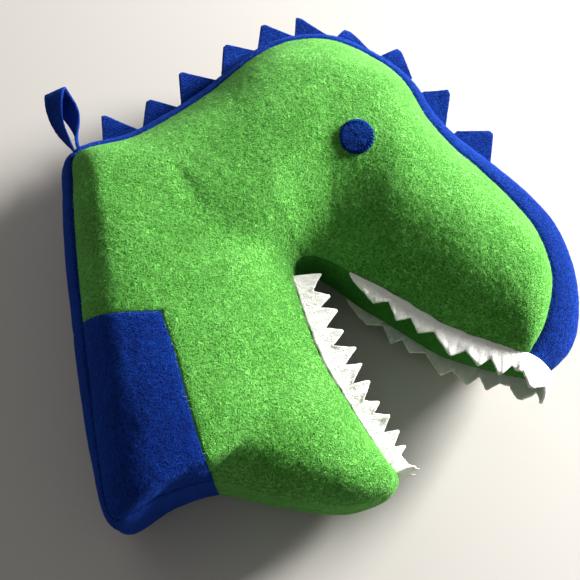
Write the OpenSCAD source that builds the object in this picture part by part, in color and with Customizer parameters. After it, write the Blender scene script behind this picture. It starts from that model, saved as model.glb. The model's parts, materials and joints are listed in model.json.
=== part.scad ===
// Stuffed felt dinosaur head with open jaws, lying on its left side.
// +X points to the nose, +Y to the crest and +Z up. Millimetres.

/* [Felt] */
// Thickness of the wool felt of the body panels
felt = 1.4; // [1:0.1:1.6]
// Thickness of the felt of the teeth
tooth_felt = 1.2; // [0.8:0.1:1.5]
// Thickness of a crest spike, which is two layers of felt sewn together
spike_felt = 2; // [1.2:0.1:2.6]

/* [Head] */
// Height of the middle plane of the head above the surface that it lies on
middle_z = 35; // [34:0.5:40]
// How strongly the side panels are puffed out by the stuffing
puff = 1; // [0.7:0.05:1.1]

/* [Teeth] */
// Upper teeth on each side of the jaw
upper_teeth_count = 7; // [4:1:9]
// Depth of the rearmost upper tooth
upper_rear_depth = 7; // [5:0.5:9]
// Depth of the front upper teeth
upper_front_depth = 13; // [10:0.5:15]
// Lower teeth on each side of the jaw
lower_teeth_count = 12; // [6:1:14]
// Depth of the lower teeth
lower_depth = 14; // [9:0.5:15]

/* [Spikes] */
// Height of the tallest crest spike above its root
spike_height = 16; // [13:0.5:18]
// Radius of the rounded corner at the tip of a spike
spike_round = 1.2; // [0.5:0.1:1.6]

/* [Eyes] */
// Diameter of the round felt eye
eye_d = 17; // [12:0.5:19]
// Thickness of the felt of the eye
eye_felt = 1.4; // [1:0.1:1.6]

/* [Hanging loop] */
// Width of the folded strap
strap_w = 12; // [9:0.5:13]
// Thickness of the strap
strap_felt = 1.3; // [1:0.1:1.5]
// Reach of the loop from its seam to its fold
loop_reach = 33; // [28:1:36]

/* [Hidden] */

// The stations run round the head like a C: from the lip of the snout over the crest, down
// the back, along the throat and out to the tip of the jaw.
// Mouth seam of each station
inner_xy = [
    [111, -39], [106, -36.5], [98.5, -34], [87, -30.5], [74.5, -25.5], [62, -18], [49, -10],
    [38, -4.5], [29, 0.5], [24, 3.5], [19, 6], [15.5, 7.5], [12, 8.5], [9, 8.5], [6.5, 8],
    [5, 7], [3.5, 5.5], [2.5, 3.5], [2, 1], [2.3, -2.5], [3.3, -6.5], [5, -11.5], [8, -20.5],
    [12, -31.5], [16, -41], [20, -48.5], [25, -56.5], [30, -65], [35.5, -74], [41, -82],
    [45.5, -88.5], [48, -92]
];
// A line between the two seams, which follows the edge of the neck patch where there is one
mid_xy = [
    [113, -37.5], [114, -29], [113, -16], [105, -2], [93, 9], [79, 20], [65, 32], [54, 43],
    [45, 55], [36, 63], [22, 70], [7, 71], [-6, 66], [-18, 56], [-30, 46], [-40, 36],
    [-49, 27], [-55, 17], [-58, 5], [-59, -9], [-59, -23.5], [-52.5, -42], [-46.5, -63],
    [-41, -81], [-37.5, -90.5], [-35.5, -95.5], [-4, -93.5], [17.5, -91], [31, -92],
    [42.3, -94], [47.3, -93.3], [49.3, -93.3]
];
// Crest, back and throat seam of each station
outer_xy = [
    [114.5, -36], [122.5, -22], [127, 1], [121.5, 24], [110.5, 41], [96, 57], [81.5, 72],
    [69.5, 88], [59.5, 107], [46, 120], [22.5, 132], [0, 131.5], [-19, 122], [-40.5, 102.5],
    [-62, 86], [-81, 74], [-106, 64], [-107, 45.5], [-103.5, 13], [-99.5, -14.5], [-98, -25],
    [-92.5, -57], [-87.5, -86], [-79, -115.5], [-56, -107], [-34.5, -98.5], [-12, -104],
    [9, -108.5], [27, -110.5], [43.5, -105.5], [49, -98], [50.5, -94.5]
];
// Half of the width between the right and the left mouth seam
inner_half = [
    16, 17, 18, 19, 20, 21, 22, 24, 25, 26, 26, 26, 26, 26, 26, 26,
    26, 26, 26, 26, 26, 26, 25, 24, 23, 22, 21, 20, 19, 17, 15, 14
];
// Half of the width between the right and the left outer seam
outer_half = [
    16, 18, 19, 19, 18, 18, 17, 17, 17, 17, 17, 17, 17, 17, 18, 20,
    24, 26, 26, 26, 26, 26, 26, 26, 25, 24, 23, 22, 20, 17, 15, 14
];
// How far the stuffing lifts the middle of a side panel above its seams
side_rise = [
    0, 6, 12, 15, 17, 17, 15, 13, 11, 10, 10, 11, 12, 13, 14, 14,
    14, 14, 14, 14, 13, 13, 13, 12, 12, 13, 13, 12, 10, 7, 4, 0
];
// How far the crest, back and chin pieces bulge past their seams
outer_bulge = [
    14, 16, 17, 17, 16, 15, 14, 13, 12, 12, 12, 12, 12, 12, 12, 11,
    11, 11, 11, 10, 10, 10, 9, 7, 5, 5, 4.5, 4, 3.5, 3, 3, 3
];
// How far the mouth linings bulge past their seams
inner_bulge = [
    6, 6, 6, 5.5, 5.5, 5.5, 5.5, 5, 4, 3, 2, 1, 1, 1, 1, 1,
    1, 1, 1, 1, 1, 1, 2, 3, 4, 4, 4, 4, 4, 3.5, 3, 3
];
// How far the front of each lip stands out in the middle, and how it fades along the mouth
snout_lip = [13, -6];
jaw_lip = [3, -1];
snout_pull = [[0, 1], [1, 0.5], [2, 0.1], [3, 0]];
jaw_pull = [[28, 0], [29, 0.1], [30, 0.5], [31, 1]];
// Moves the outline so that the origin is under the middle of the part
to_centre = [-6.92, -18.25, 0];

// Grid of the skin
last_station = len(inner_xy) - 1;
ribs_a_station = 2;
ribs = last_station * ribs_a_station + 1;
inner_cells = 5;
outer_cells = 4;
side_cells = inner_cells + outer_cells;
wide_cells = 6;
half_wide = wide_cells / 2;
// Where each stretch of the loop round a rib starts
gusset_start = side_cells;
left_start = gusset_start + wide_cells;
lining_start = left_start + side_cells;
around = lining_start + wide_cells;
// Stations at which one piece meets the next
neck_corner = 16;
mouth_corner = 16;
patch_top = 20;
under_corner = 23;
patch_end = 25;
// Exponents that round the side panels and the narrow pieces
side_round = 0.6;
narrow_round = 1.2;
// How gently the left side turns up from the surface that it rests on
contact_round = 0.8;
// Gap between the felt and the stuffing, and the stations at which the stuffing is divided
loose = 0.3;
stuffing_start = 2;
head_neck = 13;
neck_jaw = 24;
stuffing_end = 30;
// Small gap between the teeth and the seam that they are sewn into
tooth_gap = 0.5;
valley_share = 0.45;
// Arc along the mouth seam at which the rear teeth start
upper_rear_station = 8;
lower_rear_station = 19;
// Steps across the front of each lip
lip_steps = 4;
// Station and base width of each spike, from the neck to the snout, its share of the full
// height, and how far its tip leans towards the nose
spike_station = [15.1, 14.0, 13.05, 12.12, 11.2, 10.45, 9.7, 8.75, 7.35, 5.75];
spike_base = [21, 21, 22, 20, 17.5, 17.5, 20, 20, 22, 22];
spike_share = [1, 0.8, 0.97, 0.75, 0.76, 0.78, 0.7, 0.75, 0.75, 0.82];
spike_lean = [-6, 0.5, -0.5, 1, -4, -7.5, -7, -5.5, -6, 1];
// Gap between a spike and the crest below it, which lets it bend
spike_lift = 1.4;
// Ribs of the crest under a spike, to each side, and how deep its blank is before the trim
spike_ribs = 2;
spike_blank = 8;
// Station and place between the seams of the eye
eye_station = 9.3;
eye_place = 0.53;
eye_lift = 0.5;
// Step to the points beside the eye that give its tilt
eye_step = 0.1;
// Root, direction and opening of the hanging loop
loop_root = [-112.5, 79.5];
loop_angle = 111;
loop_outline = [
    [0, 1.6], [0.12, 2.6], [0.3, 4.2], [0.5, 5.2], [0.68, 5.3], [0.82, 4.6], [0.93, 3],
    [0.985, 1.4], [1, 0]
];
loop_twist = 80;
green = "limegreen";
blue = "mediumblue";
tiny = 0.02;

// Smooth curve through a list of values or points
function at(list, u) =
    let (
        k = max(0, min(len(list) - 2, floor(u))),
        t = u - k,
        a = list[max(0, k - 1)],
        b = list[k],
        c = list[k + 1],
        d = list[min(len(list) - 1, k + 2)]
    )
    b + ((c - a) * t + (2 * a - 5 * b + 4 * c - d) * t * t + (3 * b - a - 3 * c + d) * t * t * t) / 2;
function unit(v) = v / norm(v);
function heading(list, u) = unit(at(list, min(u + tiny, last_station)) - at(list, max(u - tiny, 0)));
// Directions out of the body at the outer seam and into the mouth at the inner seam
function outward(u) = let (d = heading(outer_xy, u)) [d[1], -d[0]];
function mouthward(u) = let (d = heading(inner_xy, u)) [-d[1], d[0]];
// The height of the right side above the middle plane, and its place in plan
function plan(u, v) =
    v < 0.5
        ? at(inner_xy, u) * (1 - 2 * v) + at(mid_xy, u) * 2 * v
        : at(mid_xy, u) * (2 - 2 * v) + at(outer_xy, u) * (2 * v - 1);
function height(u, v) =
    let (
        p = plan(u, v),
        a = norm(p - at(inner_xy, u)),
        b = norm(p - at(outer_xy, u)),
        s = a / (a + b),
        crown = pow(max(0, 4 * s * (1 - s)), side_round)
    )
    at(inner_half, u) * (1 - s) + at(outer_half, u) * s + puff * at(side_rise, u) * crown;
// What would reach below the resting surface is pressed nearly flat on it
function pressed(z) = ln(1 + exp(z / contact_round)) * contact_round;
function side_point(u, v, side) =
    let (p = plan(u, v))
    [p[0], p[1], pressed(middle_z + side * height(u, v))];
// The crest, back and chin pieces: turn runs from 0 at the right seam to 180 at the left
function gusset_point(u, turn) =
    let (p = at(outer_xy, u) + outward(u) * at(outer_bulge, u) * pow(sin(turn), narrow_round))
    [p[0], p[1], middle_z + at(outer_half, u) * cos(turn)];
function lining_point(u, turn) =
    let (
        s = lookup(u, snout_pull),
        j = lookup(u, jaw_pull),
        reach = mouthward(u) * at(inner_bulge, u) * (1 - s) * (1 - j) + snout_lip * s + jaw_lip * j,
        p = at(inner_xy, u) + reach * pow(sin(turn), narrow_round)
    )
    [p[0], p[1], middle_z + at(inner_half, u) * cos(turn)];
// The loop of points round the body at one rib
function place(j) = j <= inner_cells
    ? 0.5 * j / inner_cells
    : 0.5 + 0.5 * (j - inner_cells) / outer_cells;
function loop_at(u) = [
    for (j = [0 : side_cells]) side_point(u, place(j), 1),
    for (j = [1 : wide_cells - 1]) gusset_point(u, 180 * j / wide_cells),
    for (j = [0 : side_cells]) side_point(u, place(side_cells - j), -1),
    for (j = [1 : wide_cells - 1]) lining_point(u, 180 - 180 * j / wide_cells)
];
skin = [for (i = [0 : ribs - 1]) loop_at(i / ribs_a_station)];
// Direction out of the skin at each point of the grid
skin_out = [
    for (i = [0 : ribs - 1])
        [
            for (j = [0 : around - 1])
                let (
                    along = skin[min(ribs - 1, i + 1)][j] - skin[max(0, i - 1)][j],
                    across = skin[i][(j + 1) % around] - skin[i][(j + around - 1) % around]
                )
                unit(cross(across, along))
        ]
];
function layer(depth) = [
    for (i = [0 : ribs - 1])
        for (j = [0 : around - 1])
            skin[i][j] - skin_out[i][j] * depth
];
// A closed shell of felt on the cells from rib i0 to i1 and from j0 to j1, less a notch
function in_box(i, j, b) = b != undef && i >= b[0] && i < b[1] && j >= b[2] && j < b[3];
function covered(i, j, box, notch) =
    i >= 0 && i < ribs - 1 && in_box(i, j, box) && !in_box(i, j, notch);
function point_no(i, j, under) = under * ribs * around + i * around + j % around;
function quad(a, b, c, d) = [[a, b, c], [a, c, d]];
function wall(i, j, m, n) = quad(
    point_no(i, j, 0), point_no(i, j, 1), point_no(m, n, 1), point_no(m, n, 0)
);
module felt_shell(box, notch) {
    faces = [
        for (i = [box[0] : box[1] - 1])
            for (j = [box[2] : box[3] - 1])
                if (covered(i, j, box, notch))
                    each [
                        each quad(
                            point_no(i, j, 0), point_no(i, j + 1, 0),
                            point_no(i + 1, j + 1, 0), point_no(i + 1, j, 0)
                        ),
                        each quad(
                            point_no(i, j, 1), point_no(i + 1, j, 1),
                            point_no(i + 1, j + 1, 1), point_no(i, j + 1, 1)
                        ),
                        each if_open(i, j, i - 1, j, box, notch, wall(i, j, i, j + 1)),
                        each if_open(i, j, i + 1, j, box, notch, wall(i + 1, j + 1, i + 1, j)),
                        each if_open(i, j, i, j - 1, box, notch, wall(i + 1, j, i, j)),
                        each if_open(i, j, i, j + 1, box, notch, wall(i, j + 1, i + 1, j + 1))
                    ]
    ];
    translate(to_centre) polyhedron(concat(layer(0), layer(felt)), faces);
}
function if_open(i, j, m, n, box, notch, faces) = covered(m, n, box, notch) ? [] : faces;
// A closed solid inside the felt between two ribs
module stuffing(from_rib, to_rib) {
    count = to_rib - from_rib + 1;
    solid = [
        for (i = [from_rib : to_rib])
            for (j = [0 : around - 1])
                skin[i][j] - skin_out[i][j] * (felt + loose)
    ];
    sides = [
        for (i = [0 : count - 2])
            for (j = [0 : around - 1])
                each quad(
                    i * around + j, i * around + (j + 1) % around,
                    (i + 1) * around + (j + 1) % around, (i + 1) * around + j
                )
    ];
    // Each end is a fan of triangles about the middle of the end's outline
    last = (count - 1) * around;
    middles = [for (first = [0, last]) mean([for (j = [0 : around - 1]) solid[first + j]])];
    first_end = [for (j = [0 : around - 1]) [len(solid), (j + 1) % around, j]];
    last_end = [for (j = [0 : around - 1]) [len(solid) + 1, last + j, last + (j + 1) % around]];
    translate(to_centre) polyhedron(concat(solid, middles), concat(sides, first_end, last_end));
}
function mean(points) = [for (v = points) 1] * points / len(points);
patch_box = [patch_top * ribs_a_station, patch_end * ribs_a_station, inner_cells, side_cells];
left_patch_box = [
    patch_box[0], patch_box[1], left_start, left_start + outer_cells
];

module right_side_panel() color(green) felt_shell([0, ribs - 1, 0, side_cells], patch_box);
module left_side_panel() color(green)
    felt_shell([0, ribs - 1, left_start, lining_start], left_patch_box);
module right_neck_patch() color(blue) felt_shell(patch_box);
module left_neck_patch() color(blue) felt_shell(left_patch_box);
module gusset(from_station, to_station, from_cell, to_cell)
    felt_shell([
        from_station * ribs_a_station, to_station * ribs_a_station,
        gusset_start + from_cell, gusset_start + to_cell
    ]);
module right_crest_gusset() color(blue) gusset(0, neck_corner, 0, half_wide);
module left_crest_gusset() color(blue) gusset(0, neck_corner, half_wide, wide_cells);
module back_panel() color(blue) gusset(neck_corner, under_corner, 0, wide_cells);
module under_neck_panel() color(blue) gusset(under_corner, patch_end, 0, wide_cells);
module chin_gusset() color(green) gusset(patch_end, last_station, 0, wide_cells);
module palate_lining() color("green")
    felt_shell([0, mouth_corner * ribs_a_station, lining_start, around]);
module lower_mouth_lining() color("green")
    felt_shell([mouth_corner * ribs_a_station, ribs - 1, lining_start, around]);

// Arc length along the mouth seam at each rib, to space the teeth evenly
mouth_arc = [
    for (
        i = 0, s = 0;
        i < ribs;
        s = s + norm(at(inner_xy, (i + 1) / ribs_a_station) - at(inner_xy, i / ribs_a_station)),
        i = i + 1
    )
        [s, i / ribs_a_station]
];
arc_of_station = [for (m = mouth_arc) [m[1], m[0]]];
// One line of a tooth strip: its place on the seam, its depth, the way it hangs and the way
// that it faces
function tooth_line(u, turn, lip, depth) =
    let (
        p = at(inner_xy, u) + lip * sin(turn),
        z = middle_z + at(inner_half, u) * cos(turn),
        hang = mouthward(u),
        face = unit([unit(lip)[0] * sin(turn), unit(lip)[1] * sin(turn), cos(turn)]),
        root = [p[0], p[1], z] + tooth_gap * [hang[0], hang[1], 0] + face * tiny,
        edge = root + depth * [hang[0], hang[1], 0]
    )
    [root, root + face * tooth_felt, edge + face * tooth_felt, edge];
module tooth_strip(rear, front, lip, count, rear_depth, front_depth) {
    rear_arc = lookup(rear, arc_of_station);
    front_arc = lookup(front, arc_of_station);
    side = [
        for (k = [0 : 2 * count])
            let (
                share = k / (2 * count),
                full = rear_depth + (front_depth - rear_depth) * share,
                depth = k % 2 == 1 ? full : full * valley_share
            )
            [lookup(rear_arc + (front_arc - rear_arc) * share, mouth_arc), depth]
    ];
    lines = [
        for (s = side) tooth_line(s[0], 0, lip, s[1]),
        for (k = [1 : lip_steps - 1])
            tooth_line(front, 180 * k / lip_steps, lip, k % 2 == 1 ? front_depth : front_depth / 2),
        for (k = [len(side) - 1 : -1 : 0]) tooth_line(side[k][0], 180, lip, side[k][1])
    ];
    last = len(lines) - 1;
    faces = [
        [3, 2, 1, 0],
        for (i = [0 : last - 1])
            for (j = [0 : 3])
                each quad(4 * i + j, 4 * i + (j + 1) % 4, 4 * i + 4 + (j + 1) % 4, 4 * i + 4 + j),
        [4 * last, 4 * last + 1, 4 * last + 2, 4 * last + 3]
    ];
    flipped = rear < front ? faces : [for (f = faces) [for (k = [len(f) - 1 : -1 : 0]) f[k]]];
    translate(to_centre) polyhedron([for (l = lines) each l], flipped);
}
module upper_teeth() color("white")
    tooth_strip(upper_rear_station, 0, snout_lip, upper_teeth_count, upper_rear_depth,
        upper_front_depth);
module lower_teeth() color("white")
    tooth_strip(lower_rear_station, last_station, jaw_lip, lower_teeth_count, lower_depth,
        lower_depth);

// A crest spike stands in the middle plane on its own stretch of the crest seam. Its foot is
// cut to the line of the crest below it.
module spike(k) {
    u = spike_station[k];
    root = gusset_point(u, 90);
    out = outward(u);
    half = spike_base[k] / 2;
    near = round(u * ribs_a_station);
    crest = [
        for (i = [near + spike_ribs : -1 : near - spike_ribs])
            let (p = gusset_point(i / ribs_a_station, 90) - root)
            [p[0] * out[1] - p[1] * out[0], p[0] * out[0] + p[1] * out[1]]
    ];
    below = -2 * spike_blank;
    color(blue)
        translate(to_centre + root)
            rotate([0, 0, atan2(out[1], out[0]) - 90])
                linear_extrude(spike_felt, center = true)
                    difference() {
                        offset(spike_round, $fn = 24)
                            offset(delta = -spike_round)
                                polygon([
                                    [-half, -spike_blank], [half, -spike_blank], [half, spike_lift],
                                    [spike_lean[k], spike_lift + spike_height * spike_share[k]],
                                    [-half, spike_lift]
                                ]);
                        offset(delta = spike_lift)
                            polygon([
                                each crest, [crest[len(crest) - 1][0], below], [crest[0][0], below]
                            ]);
                    }
}
module spike_01() spike(0);
module spike_02() spike(1);
module spike_03() spike(2);
module spike_04() spike(3);
module spike_05() spike(4);
module spike_06() spike(5);
module spike_07() spike(6);
module spike_08() spike(7);
module spike_09() spike(8);
module spike_10() spike(9);

// A round eye sewn flat on the side panel, tilted as the panel is
module eye(side) {
    p = side_point(eye_station, eye_place, side);
    along = side_point(eye_station + eye_step, eye_place, side) - p;
    across = side_point(eye_station, eye_place + eye_step, side) - p;
    out = unit(cross(across, along)) * side;
    color(blue)
        translate(to_centre + p + out * eye_lift)
            rotate([0, acos(out[2]), atan2(out[1], out[0])])
                cylinder(d = eye_d, h = eye_felt, $fn = 64);
}
module right_eye() eye(1);
module left_eye() eye(-1);

// The strap is folded into a loop, with both ends sewn into the corner seam, and turned
// along its length
module hanging_loop() {
    axis = [cos(loop_angle), sin(loop_angle), 0];
    beside = [sin(loop_angle), -cos(loop_angle), 0];
    path = [
        each loop_outline,
        for (k = [len(loop_outline) - 2 : -1 : 0]) [loop_outline[k][0], -loop_outline[k][1]]
    ];
    lines = [
        for (k = [0 : len(path) - 1])
            let (
                a = path[max(0, k - 1)],
                b = path[min(len(path) - 1, k + 1)],
                run = unit([(b[0] - a[0]) * loop_reach, b[1] - a[1]]),
                turn = loop_twist * path[k][0],
                apart = beside * cos(turn) - [0, 0, 1] * sin(turn),
                wide = beside * sin(turn) + [0, 0, 1] * cos(turn),
                mid = axis * path[k][0] * loop_reach + apart * path[k][1],
                thick = (apart * run[0] - axis * run[1]) * strap_felt / 2
            )
            [
                mid - wide * strap_w / 2 - thick, mid + wide * strap_w / 2 - thick,
                mid + wide * strap_w / 2 + thick, mid - wide * strap_w / 2 + thick
            ]
    ];
    last = len(lines) - 1;
    color(blue)
        translate(to_centre + [loop_root[0], loop_root[1], middle_z])
            polyhedron(
                [for (l = lines) each l],
                [
                    [3, 2, 1, 0],
                    for (i = [0 : last - 1])
                        for (j = [0 : 3])
                            each quad(
                                4 * i + j, 4 * i + (j + 1) % 4, 4 * i + 4 + (j + 1) % 4, 4 * i + 4 + j
                            ),
                    [4 * last, 4 * last + 1, 4 * last + 2, 4 * last + 3]
                ]
            );
}
module head_stuffing() color("ivory")
    stuffing(stuffing_start * ribs_a_station, head_neck * ribs_a_station);
module neck_stuffing() color("ivory")
    stuffing(head_neck * ribs_a_station, neck_jaw * ribs_a_station);
module jaw_stuffing() color("ivory")
    stuffing(neck_jaw * ribs_a_station, stuffing_end * ribs_a_station);

right_side_panel();
left_side_panel();
right_crest_gusset();
left_crest_gusset();
back_panel();
right_neck_patch();
left_neck_patch();
under_neck_panel();
chin_gusset();
palate_lining();
lower_mouth_lining();
upper_teeth();
lower_teeth();
spike_01();
spike_02();
spike_03();
spike_04();
spike_05();
spike_06();
spike_07();
spike_08();
spike_09();
spike_10();
right_eye();
left_eye();
hanging_loop();
neck_stuffing();
head_stuffing();
jaw_stuffing();
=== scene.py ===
import json
import math

import bpy
import numpy as np
from mathutils import Matrix, Vector

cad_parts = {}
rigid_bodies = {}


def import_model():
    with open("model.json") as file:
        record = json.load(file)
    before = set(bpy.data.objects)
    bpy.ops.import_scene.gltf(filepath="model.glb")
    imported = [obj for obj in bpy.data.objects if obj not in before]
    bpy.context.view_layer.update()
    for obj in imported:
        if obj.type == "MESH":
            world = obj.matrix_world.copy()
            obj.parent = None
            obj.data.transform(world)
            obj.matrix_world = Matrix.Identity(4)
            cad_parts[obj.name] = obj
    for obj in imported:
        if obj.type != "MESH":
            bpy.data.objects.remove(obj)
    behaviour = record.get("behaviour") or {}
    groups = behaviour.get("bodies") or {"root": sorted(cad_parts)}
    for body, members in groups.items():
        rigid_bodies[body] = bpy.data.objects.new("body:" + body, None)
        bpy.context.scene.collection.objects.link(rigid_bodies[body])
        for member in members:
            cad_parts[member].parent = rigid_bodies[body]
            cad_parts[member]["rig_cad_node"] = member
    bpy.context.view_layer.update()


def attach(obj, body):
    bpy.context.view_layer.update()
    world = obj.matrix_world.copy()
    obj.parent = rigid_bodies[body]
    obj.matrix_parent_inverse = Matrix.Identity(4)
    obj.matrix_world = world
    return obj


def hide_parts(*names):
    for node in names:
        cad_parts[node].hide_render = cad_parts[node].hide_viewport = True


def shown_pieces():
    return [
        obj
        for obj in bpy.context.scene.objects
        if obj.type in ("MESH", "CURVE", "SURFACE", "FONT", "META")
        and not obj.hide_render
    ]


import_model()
MM = 0.001

# ---------------------------------------------------------------- camera
# The head is looked at from above and a little from the throat's side, at arm's length, and
# the whole of it is in view.
view_tilt = math.radians(18)
view_distance = 550 * MM
view_centre = Vector((-6.92, -18.25, 35)) * MM
camera_data = bpy.data.cameras.new("camera")
camera_data.sensor_width = 36
camera_data.lens = 68.3
camera_data.clip_start, camera_data.clip_end = 0.02, 20
camera = bpy.data.objects.new("camera", camera_data)
back = Vector((0, -math.sin(view_tilt), math.cos(view_tilt)))
camera.location = view_centre + back * view_distance
camera.rotation_mode = "QUATERNION"
camera.rotation_quaternion = back.to_track_quat("Z", "Y")
bpy.context.collection.objects.link(camera)
bpy.context.scene.camera = camera

# ---------------------------------------------------------------- the head's form
# The head is cut from flat felt, sewn inside out, turned and stuffed firmly. The pattern is
# known at stations that run from the lip of the snout over the crest, down the back, along
# the throat and out to the tip of the jaw. Sizes here are in millimetres.
pattern_shift = np.array([-6.92, -18.25])
middle_z = 35
# The side panel's seam along the mouth, the line of its crown, and its outer seam, in plan
mouth_seam = np.array([
    [113, -37.9], [106, -36.5], [98.5, -34], [87, -30.5], [74.5, -25.3], [62, -17.5],
    [49, -9.1], [38, -2.9], [29, 2.6], [24, 6.2], [19, 8.8], [15.5, 10.3], [12, 11.3],
    [9, 11.3], [6.5, 10.8], [5, 9.8], [3.5, 8.3], [2.5, 6.3], [2, 3.8], [2.3, 0.2],
    [3.3, -4.0], [5, -9.2], [8, -18.7], [12, -30.3], [16, -40.3], [20, -48.2], [25, -56.5],
    [30, -65], [35.5, -74], [41, -82], [45.5, -88.5], [49.4, -93.0]])
crown_line = np.array([
    [113.2, -37.6], [114, -29], [113, -16], [105, -2], [93, 9], [79, 20], [65, 32], [54, 43],
    [45, 55], [36, 63], [22, 70], [7, 71], [-6, 66], [-18, 56], [-30, 46], [-40, 36],
    [-49, 27], [-55, 17], [-58, 5], [-59, -9], [-59, -23.5], [-52.5, -42], [-46.5, -63],
    [-41, -81], [-37.5, -90.5], [-35.5, -95.5], [-4, -93.5], [17.5, -91], [31, -92],
    [42.3, -94], [47.3, -93.3], [49.6, -93.3]])
outer_seam = np.array([
    [113.4, -37.3], [122.5, -22], [127, 1], [121.5, 24], [110.5, 41], [96, 57], [81.5, 72],
    [69.5, 88], [59.5, 107], [46, 120], [22.5, 132], [0, 131.5], [-19, 122], [-40.5, 102.5],
    [-62, 86], [-81, 74], [-106, 64], [-107, 45.5], [-103.5, 13], [-99.5, -14.5], [-98, -25],
    [-92.5, -57], [-87.5, -86], [-79, -115.5], [-57, -105], [-34.5, -98.5], [-12, -103.2],
    [9, -107], [27, -108.6], [43.5, -104], [49.5, -98.5], [49.8, -93.6]])
# Half the head's thickness at the two seams, and the rise of the crown above them
mouth_half = np.array([
    16, 17, 18, 19, 19.5, 19.5, 19.5, 19.5, 19, 18.5, 18, 18, 18, 18, 18, 18,
    18, 18, 18, 18.5, 19, 19.5, 20, 20.5, 21, 21, 21, 20, 19, 17, 15, 14.0])
outer_half = np.array([
    16, 18, 19, 19, 18, 18, 17, 17, 17, 17, 17, 17, 17, 17, 18, 20,
    24, 26, 26, 26, 26, 26, 26, 26, 25, 24, 23, 22, 20, 17, 15, 14.0])
side_rise = np.array([
    0, 7, 14, 18, 20, 21, 22, 23, 24, 24.5, 24.5, 24.5, 24, 23.5, 22.5, 21,
    19, 18, 18, 18, 18, 18, 17, 16, 15, 15, 14, 13, 11, 8, 5, 0.0])
# How much of a rib it takes to rise from the mouth seam, and to fall to the outer seam
mouth_share = np.array([
    0.6, 0.6, 0.6, 0.6, 0.6, 0.6, 0.6, 0.62, 0.65, 0.65, 0.6, 0.5, 0.42, 0.36, 0.33, 0.31,
    0.28, 0.3, 0.32, 0.33, 0.34, 0.36, 0.38, 0.4, 0.45, 0.5, 0.5, 0.5, 0.5, 0.5, 0.5, 0.5])
outer_share = np.array([
    0.4, 0.4, 0.4, 0.4, 0.4, 0.4, 0.4, 0.38, 0.35, 0.35, 0.38, 0.4, 0.4, 0.38, 0.34, 0.28,
    0.22, 0.2, 0.2, 0.2, 0.2, 0.2, 0.22, 0.25, 0.3, 0.4, 0.5, 0.5, 0.5, 0.5, 0.5, 0.5])
# How far the outer pieces and the linings bulge past their seams
outer_bulge = np.array([
    16, 24, 21.5, 21, 19.5, 17, 14.5, 12, 11, 10.5, 10.5, 10.5, 10.5, 10.5, 11, 11,
    11, 11, 11, 10, 10, 9.5, 7.5, 4.5, 2.5, 2, 1.8, 1.5, 1, 0.8, 1, 1.2])
mouth_bulge = np.array([
    8, 8, 8, 8, 8, 7.5, 7, 6, 4, 3, 2, 1, 1, 1, 1, 1,
    1, 1, 1, 1, 1, 1, 2, 3, 4, 4, 4, 4, 4, 3.5, 3, 3.0])
last_station = len(mouth_seam) - 1


def smooth(values, u):
    """A curve through a list, station by station: on each stretch it is the cubic that meets
    both ends with the mean slope of their neighbours."""
    u = np.asarray(u, float)
    k = np.clip(np.floor(u).astype(int), 0, len(values) - 2)
    t = (u - k).reshape(u.shape + (1,) * (values.ndim - 1))
    a, b, c = values[np.maximum(k - 1, 0)], values[k], values[k + 1]
    d = values[np.minimum(k + 2, len(values) - 1)]
    return b + ((c - a) * t + (2 * a - 5 * b + 4 * c - d) * t**2 + (3 * b - a - 3 * c + d) * t**3) / 2


def unit(v):
    """Vectors divided by their lengths."""
    return v / np.maximum(np.linalg.norm(v, axis=-1, keepdims=True), 1e-9)


def heading(seam, u, step=0.02):
    """The seam's direction: the line between the points just before and after u."""
    return unit(smooth(seam, np.minimum(u + step, last_station)) - smooth(seam, np.maximum(u - step, 0)))


def out_of_body(u):
    """The outer seam's direction turned a quarter turn clockwise."""
    d = heading(outer_seam, u)
    return np.stack([d[..., 1], -d[..., 0]], -1)


def into_mouth(u):
    """The mouth seam's direction turned a quarter turn anticlockwise."""
    d = heading(mouth_seam, u)
    return np.stack([-d[..., 1], d[..., 0]], -1)


# At both tips the lining and the outer piece are sewn to one another round the front
snout_lip = out_of_body(0.0) * outer_bulge[0]
jaw_lip = out_of_body(float(last_station)) * outer_bulge[-1]


def pressed(z, soft=0.8):
    """What would reach below the resting surface lies nearly flat on it: the height becomes the
    soft maximum of itself and zero."""
    return soft * np.logaddexp(0, z / soft)


def side_form(u, v, side, puff=1.0):
    """A side panel: straight ribs between the seams in plan, and in height a crown over each
    rib. From each seam it rises as one less the square, or the power 2.5, of what is left of
    that seam's share of the rib."""
    u, v = u[:, None], v[None, :]
    patch_end = 25
    inner, outer = (smooth(seam, u[:, 0])[:, None] for seam in (mouth_seam, outer_seam))
    # The crown's line has a corner where the patch ends
    middle = np.where(
        u[..., None] < patch_end, smooth(crown_line[:patch_end + 1], np.minimum(u, patch_end)),
        smooth(crown_line[patch_end:], np.maximum(u - patch_end, 0)))
    t = v[..., None]
    plan = np.where(
        t < 0.5, inner * (1 - 2 * t) + middle * 2 * t, middle * (2 - 2 * t) + outer * (2 * t - 1))
    a = np.linalg.norm(plan - inner, axis=-1)
    b = np.linalg.norm(plan - outer, axis=-1)
    s = a / (a + b)
    crown = ((1 - (1 - np.minimum(s / smooth(mouth_share, u), 1)) ** 2)
             * (1 - (1 - np.minimum((1 - s) / smooth(outer_share, u), 1)) ** 2.5))
    half = smooth(mouth_half, u) * (1 - s) + smooth(outer_half, u) * s
    return np.dstack([plan, middle_z + side * (half + puff * smooth(side_rise, u) * crown)])


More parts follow.
